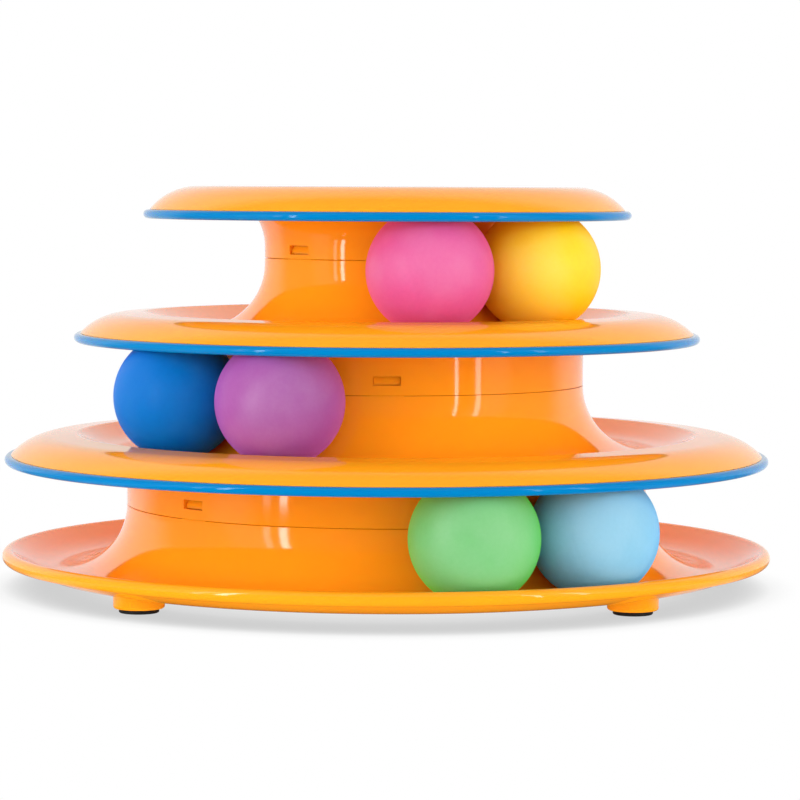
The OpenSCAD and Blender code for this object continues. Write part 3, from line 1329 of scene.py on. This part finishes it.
@dataclass(frozen=True)
class TrackBall:
    """A hollow ball that rests in its track, with the faint seam of its two halves.

    Attributes:
        finish: The ball's finish, whose slot is also its node and its body.
        track: The track that it lies in.
        turn: Where it rests, in degrees from the front.
        roll: How far it has rolled about its own centre, in degrees.
        radius: Outside radius.
        rest: Height above the track's floor at which it rides.
        seam_h: Depth of the seam.
        seam_w: Half width of the seam, in degrees.
        arc_steps: Facets from pole to pole.
        facets: Facets round the poles.
        sharp: Edges sharper than this many degrees stay sharp.
    """

    finish: Finish
    track: Track
    turn: float
    roll: tuple[float, float, float]
    radius: float = 19.8 * MM
    rest: float = 0.3 * MM
    seam_h: float = 0.03 * MM
    seam_w: float = 0.9
    arc_steps: int = 96
    facets: int = 128
    sharp: float = 60

    def build(self) -> None:
        """Builds the ball."""
        section = Outline()
        for i in range(self.arc_steps + 1):
            angle = -90 + 180 * i / self.arc_steps
            groove = self.seam_h * math.exp(-((angle / self.seam_w) ** 2))
            x, z = polar((0, 0), self.radius - groove, angle)
            section.to(max(x, 0.0), z)
        name = self.finish.slot
        piece = turned(f"{name}_shell", section, self.facets)
        height = self.track.floor + self.rest + self.radius
        place = standing(self.track.orbit, self.turn, height)
        rolled = Euler([math.radians(angle) for angle in self.roll])
        piece.data.transform(Matrix.LocRotScale(place, rolled, None))
        deliver(smooth(piece, self.sharp), name, self.finish, name)


# Studio and camera


@dataclass(frozen=True)
class PhotoCamera:
    """The camera, standing where the photograph was taken from.

    Attributes:
        distance: Distance in front of the tower's axis.
        height: Height above the floor.
        pitch: Degrees that it looks down.
        yaw: Degrees that it turns aside.
        roll: Degrees that it rolls.
        focal: Focal length in widths of the picture.
        sensor: Width of the sensor in millimetres.
        sight: Nearest and farthest distance that it sees.
    """

    distance: float = 1.0596
    height: float = 0.13053
    pitch: float = 3.792
    yaw: float = 0.232
    roll: float = 0.246
    focal: float = 3251.7 / 800
    sensor: float = 36.0
    sight: tuple[float, float] = (0.05, 50.0)

    def build(self) -> None:
        """Builds the camera and makes it the scene's own."""
        yaw, pitch, roll = (math.radians(a) for a in (self.yaw, self.pitch, self.roll))
        turns = ((-yaw, "Z"), (math.pi / 2 - pitch, "X"), (roll, "Z"))
        placed = Matrix.Translation((0, -self.distance, self.height))
        for turn, axis in turns:
            placed = placed @ Matrix.Rotation(turn, 4, axis)
        data = bpy.data.cameras.new("photo_camera")
        data.sensor_width = self.sensor
        data.lens = self.sensor * self.focal
        data.clip_start, data.clip_end = self.sight
        camera = bpy.data.objects.new("photo_camera", data)
        bpy.context.scene.collection.objects.link(camera)
        camera.matrix_world = placed
        bpy.context.scene.camera = camera
        LOG.info("camera: %.1f mm lens", data.lens)


@dataclass(frozen=True)
class StripLamp:
    """A narrow upright studio lamp that stands on the floor and faces the tower.

    Attributes:
        name: Name of the lamp.
        azimuth: Degrees round from the front, to the right when positive.
        width: Width of the strip.
        glow: Radiance, where 1 is white.
        distance: Distance from the tower's axis.
        height: Height of the strip.
        lift: Gap between the strip and the floor.
    """

    name: str
    azimuth: float
    width: float
    glow: float
    distance: float = 0.38
    height: float = 0.24
    lift: float = 2 * MM

    def build(self) -> None:
        """Builds the lamp, which the camera itself does not see."""
        data = bpy.data.lights.new(self.name, "AREA")
        data.shape = "RECTANGLE"
        data.size, data.size_y = self.width, self.height
        data.energy = self.glow * math.pi * self.width * self.height
        lamp = bpy.data.objects.new(self.name, data)
        bpy.context.scene.collection.objects.link(lamp)
        lamp.location = standing(self.distance, self.azimuth, self.height / 2 + self.lift)
        away = standing(1, self.azimuth)
        lamp.rotation_euler = away.to_track_quat("Z", "Y").to_euler()
        lamp.visible_camera = False


@dataclass(frozen=True)
class Studio:
    """White sweep, surrounding light and lamps.

    Attributes:
        horizon: Strength of the surrounding light near the floor.
        zenith: Its strength from overhead.
        heights: Where the one starts to give way to the other, and where it has done so.
        mirrored: What the gloss reflects: degrees round from the front, and strength.
        lamps: The lamps.
        floor_size: Width of the floor.
        floor_greys: Darkest and palest colour of the floor.
        floor_glow: Light that the floor gives back to the toy.
        shadow: Brightness of the painted shadow where the floor is most occluded, as the camera
            sees it.
        shadow_reach: How far from the toy the ambient occlusion that paints the shadow looks.
        shadow_ends: Ambient occlusion at which the painted shadow is deepest, and at which it
            ends.
    """

    horizon: float = 2.5
    zenith: float = 0.58
    heights: tuple[float, float] = (0.1, 0.7)
    mirrored: tuple[tuple[float, float], ...] = (
        (48, 0.03),
        (58, 0.6),
        (69, 0.6),
        (77, 0.25),
        (106, 0.27),
        (122, 1.0),
        (150, 0.95),
    )
    lamps: tuple[StripLamp, ...] = (
        StripLamp("strip_left", -40, 0.022, 11.0),
        StripLamp("strip_left_faint", -47, 0.02, 3.0),
        StripLamp("strip_right", 37, 0.012, 8.0),
        StripLamp("strip_right_far", 49.5, 0.02, 5.0),
    )
    floor_size: float = 12.0
    floor_greys: tuple[float, float] = (0.3, 0.32)
    floor_glow: float = 0.85
    shadow: float = 0.62
    shadow_reach: float = 0.06
    shadow_ends: tuple[float, float] = (0.12, 0.68)

    def mirror(self, nodes: Wiring, direction: Socket) -> tuple[Socket, Socket]:
        """Maps a direction to what the gloss reflects there.

        Args:
            nodes: Tree of the world or of the floor.
            direction: A socket with a direction of length 1.

        Returns:
            The strength, and the direction's share upwards.
        """
        split = nodes.add("ShaderNodeSeparateXYZ", {0: direction}).outputs
        ramp = nodes.add("ShaderNodeValToRGB", {"Fac": nodes.spread(split["Y"], 0, 1, (-1, 1))})
        stops = ramp.color_ramp.elements
        for turn, level in self.mirrored:
            place = (1 - math.cos(math.radians(turn))) / 2
            stops.new(place).color = (level, level, level, 1)
        for first_or_last in (0, -1):
            stops.remove(stops[first_or_last])
        return ramp.outputs["Color"], split["Z"]

    def surroundings(self) -> None:
        """Builds the world: brighter near the horizon, and darker in front in the gloss alone."""
        world = bpy.data.worlds.new("studio")
        bpy.context.scene.world = world
        world.use_nodes = True
        nodes = Wiring(world.node_tree)
        rays = nodes.add("ShaderNodeLightPath").outputs
        direction = nodes.add("ShaderNodeTexCoord").outputs["Generated"]
        reflected, upwards = self.mirror(nodes, direction)
        around = nodes.spread(upwards, self.horizon, self.zenith, self.heights, eased=True)
        lit, seen, mirrored = (
            nodes.add("ShaderNodeBackground", {"Color": (*WHITE, 1), "Strength": strength})
            for strength in (around, 1.0, reflected)
        )
        either = {0: rays["Is Camera Ray"], 1: rays["Is Transmission Ray"]}
        plain = nodes.add("ShaderNodeMath", either, operation="ADD", use_clamp=True).outputs[0]
        light = nodes.pick(rays["Is Glossy Ray"], lit.outputs[0], mirrored.outputs[0])
        shown = nodes.pick(plain, light, seen.outputs[0])
        nodes.add("ShaderNodeOutputWorld", {"Surface": shown})

    def floor(self) -> None:
        """Builds the white floor, which the camera sees as a painted shadow: white emission
        darkened by ambient occlusion near the toy.
        """
        deselect()
        bpy.ops.mesh.primitive_plane_add(size=self.floor_size, location=ORIGIN)
        plane = bpy.context.object
        plane.name = "studio_floor"
        nodes = NodeTree("studio_floor")
        greys = ((grey, grey, grey) for grey in self.floor_greys)
        nodes.put(
            {
                "Base Color": nodes.between(nodes.noise(3), *greys),
                "Roughness": 0.9,
                "Specular IOR Level": 0.0,
                "Emission Color": (*WHITE, 1),
                "Emission Strength": self.floor_glow,
            }
        )
        bearing = nodes.add("ShaderNodeVectorMath", {0: nodes.place}, operation="NORMALIZE")
        reflected, _ = self.mirror(nodes, bearing.outputs["Vector"])
        # Painted shadow: for the camera, the floor's white emission is darkened wherever ambient
        # occlusion finds the toy near
        near = nodes.add("ShaderNodeAmbientOcclusion", {"Distance": self.shadow_reach}, samples=16)
        shade = nodes.spread(near.outputs["AO"], self.shadow, 1, self.shadow_ends)
        mirrored, seen = (
            nodes.add("ShaderNodeEmission", {"Strength": strength})
            for strength in (reflected, shade)
        )
        rays = nodes.add("ShaderNodeLightPath").outputs
        light = nodes.pick(rays["Is Glossy Ray"], nodes.shader.outputs[0], mirrored.outputs[0])
        shown = nodes.pick(rays["Is Camera Ray"], light, seen.outputs[0])
        nodes.feed(nodes.out.inputs["Surface"], shown)
        plane.data.materials.append(nodes.material)

    def build(self) -> None:
        """Builds the studio."""
        self.surroundings()
        self.floor()
        for lamp in self.lamps:
            lamp.build()
        LOG.info("studio: %d lamps", len(self.lamps))


def parts_of_the_toy() -> list[Callable[[], None]]:
    """Lists the builders of all pieces, from the floor up.

    Returns:
        One build method for each piece or group of pieces.
    """
    feet = tuple(
        Foot(f"{end}_{side}", hand * turn)
        for end, turn in (("front", 45.5), ("back", 134.5))
        for side, hand in (("left", -1), ("right", 1))
    )
    lower = TrackLevel(
        "lower_track", Collar(LOW_TRACK), MIDDLE_TRACK, 2.4 * MM, 6.9 * MM, crest=49.4 * MM
    )
    upper = TrackLevel(
        "upper_track", Collar(MIDDLE_TRACK), TOP_TRACK, 5.2 * MM, 5.7 * MM, crest=88.7 * MM
    )
    cap = TopCap(Collar(TOP_TRACK))
    pieces = [
        BaseDish(feet),
        lower,
        upper,
        cap,
        RimBand("lower_rim_band", lower.rim),
        RimBand("upper_rim_band", upper.rim),
        RimBand("cap_rim_band", cap.rim),
        *feet,
        TrackBall(Finish.PINK, TOP_TRACK, 12.4, (70, 20, 40)),
        TrackBall(Finish.YELLOW, TOP_TRACK, 50.8, (110, 35, 0)),
        TrackBall(Finish.PURPLE, MIDDLE_TRACK, -22.4, (60, 50, 10)),
        TrackBall(Finish.BLUE, MIDDLE_TRACK, -49.8, (20, 80, 60)),
        TrackBall(Finish.GREEN, LOW_TRACK, 14.3, (95, 10, 70)),
        TrackBall(Finish.LIGHT_BLUE, LOW_TRACK, 36.3, (40, 65, 20)),
    ]
    return [piece.build for piece in pieces]


def main() -> None:
    """Builds camera, studio and toy."""
    logging.basicConfig(level=logging.INFO, format="%(name)s: %(message)s")
    bpy.context.scene.view_settings.view_transform = "Standard"
    PhotoCamera().build()
    Studio().build()
    for build in parts_of_the_toy():
        build()


if __name__ == "__main__":
    main()
